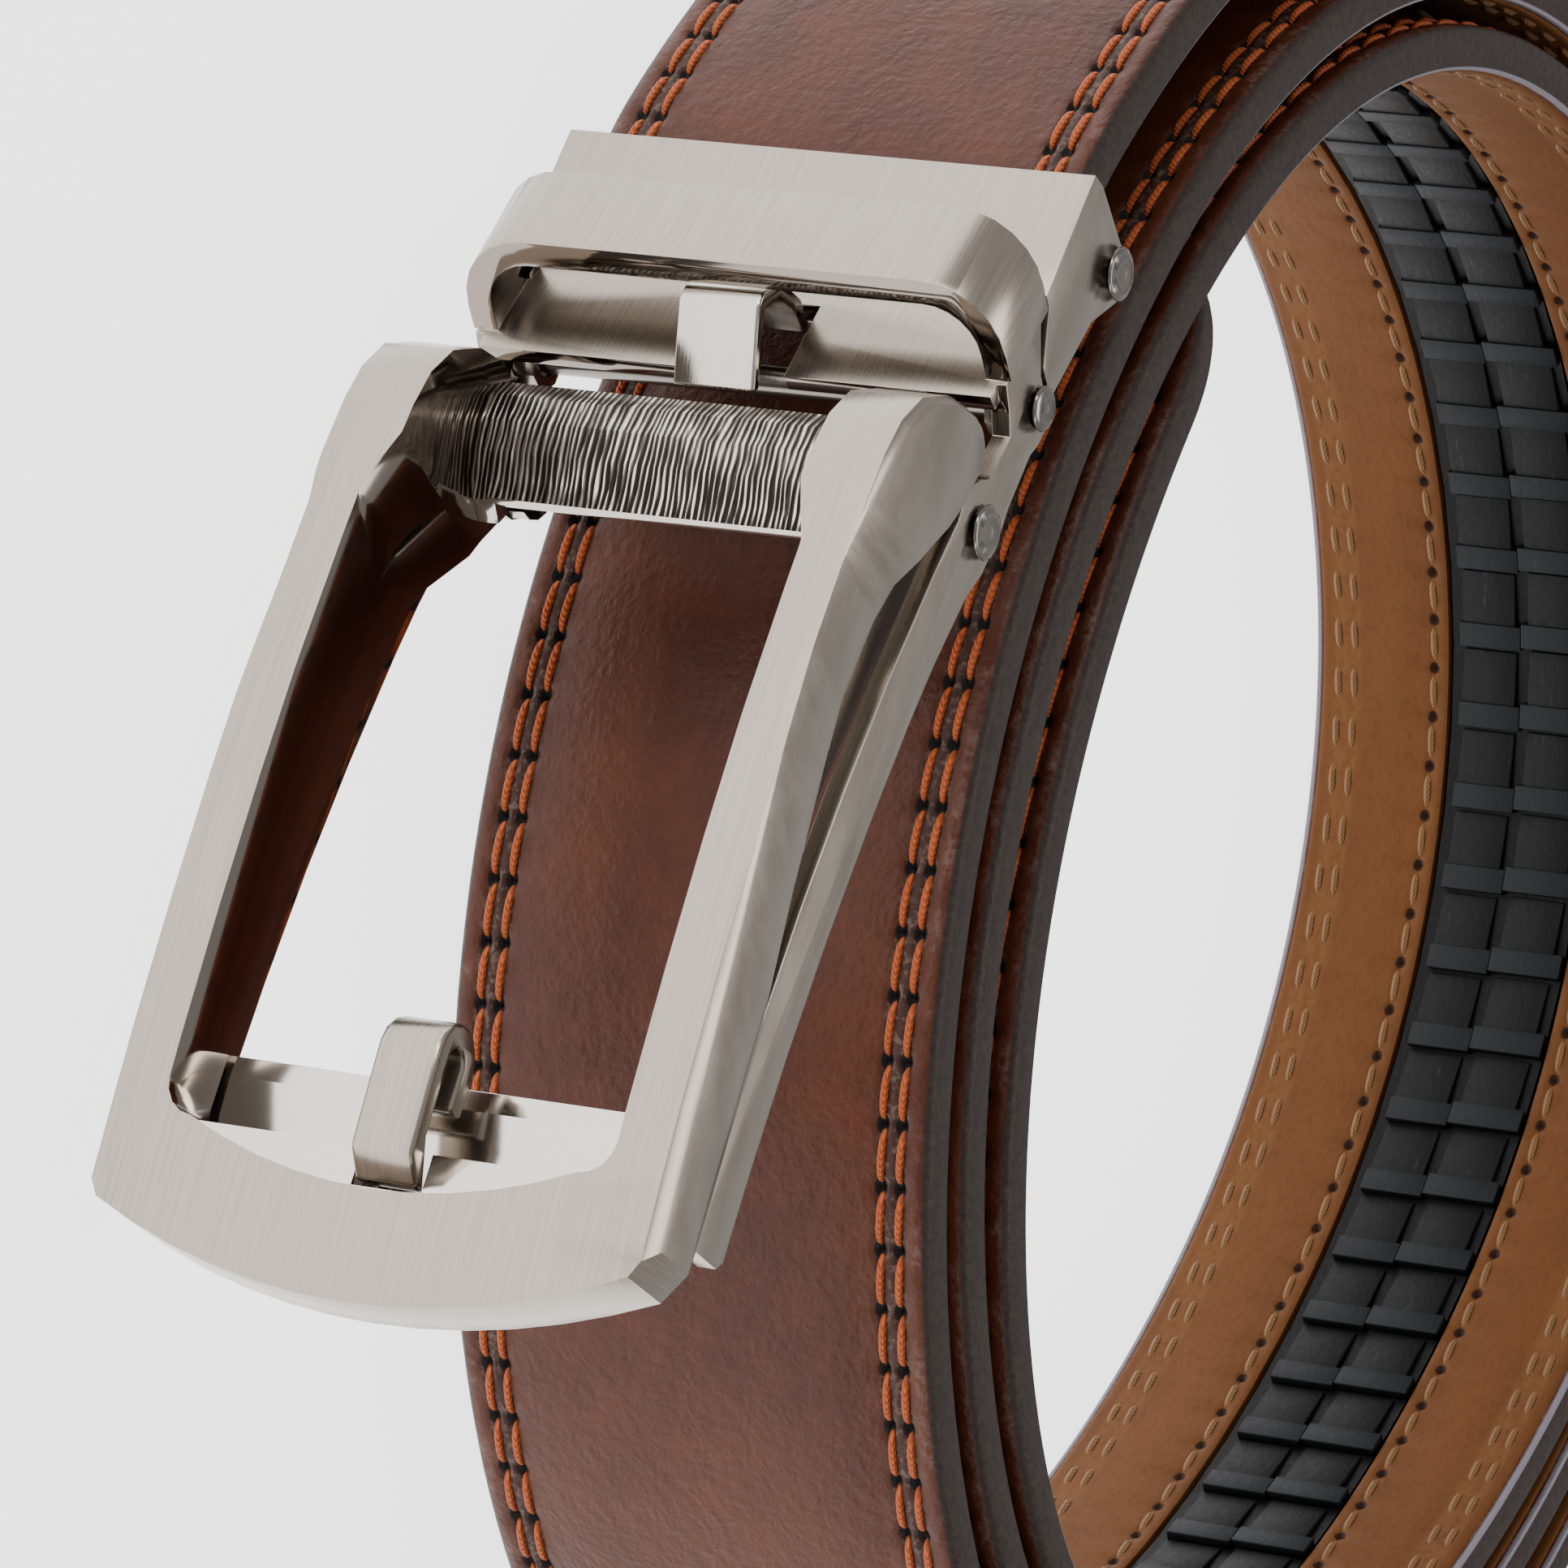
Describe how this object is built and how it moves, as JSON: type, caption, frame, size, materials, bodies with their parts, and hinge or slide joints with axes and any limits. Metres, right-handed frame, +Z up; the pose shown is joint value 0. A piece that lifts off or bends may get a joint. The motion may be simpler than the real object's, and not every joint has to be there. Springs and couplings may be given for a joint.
{
  "type": "ratchet belt",
  "caption": "Coiled leather ratchet belt: crowned stitched strap, toothed track inside, strap clamp, and a buckle body with loop, release tab and hinged open frame with prong.",
  "frame": {"origin": "centre of the bounding box at the floor the coil rests on", "axes": "+Z up along the coil's axis, -Y towards the buckle's side, +X towards the buckle's free end"},
  "size_m": [0.147, 0.1934, 0.0397],
  "materials": {
    "leather": "smooth waxed reddish brown, crowned and edge painted",
    "lining": "matt brown split leather",
    "track": "moulded dark grey, matt",
    "brushed_nickel": "fine brushed warm nickel plate",
    "polished_nickel": "polished nickel plate",
    "knurled_nickel": "coarse cut cross grooves"
  },
  "bodies": {
    "belt": {"strap": "leather", "lining": "lining", "ratchet_track": "track", "clamp_cover": "brushed_nickel", "clamp_jaw": "polished_nickel", "clamp_pin": "polished_nickel"},
    "buckle": {"buckle_body": "brushed_nickel", "release_tab": "polished_nickel", "body_pin": "polished_nickel", "frame_pin": "polished_nickel"},
    "frame": {"front_frame": "brushed_nickel", "grip_bar": "knurled_nickel", "prong": "brushed_nickel"}
  },
  "joints": [
    {"name": "buckle_swivel", "type": "hinge", "parent": "belt", "child": "buckle", "pos_m": [-0.03698, -0.04706, 0.01941], "axis": [0, -0.0121, -0.9999], "range_deg": [-12, 3]},
    {"name": "frame_hinge", "type": "hinge", "parent": "buckle", "child": "frame", "pos_m": [-0.02966, -0.05428, 0.0195], "axis": [0, -0.0121, -0.9999], "range_deg": [0, 25]}
  ]
}
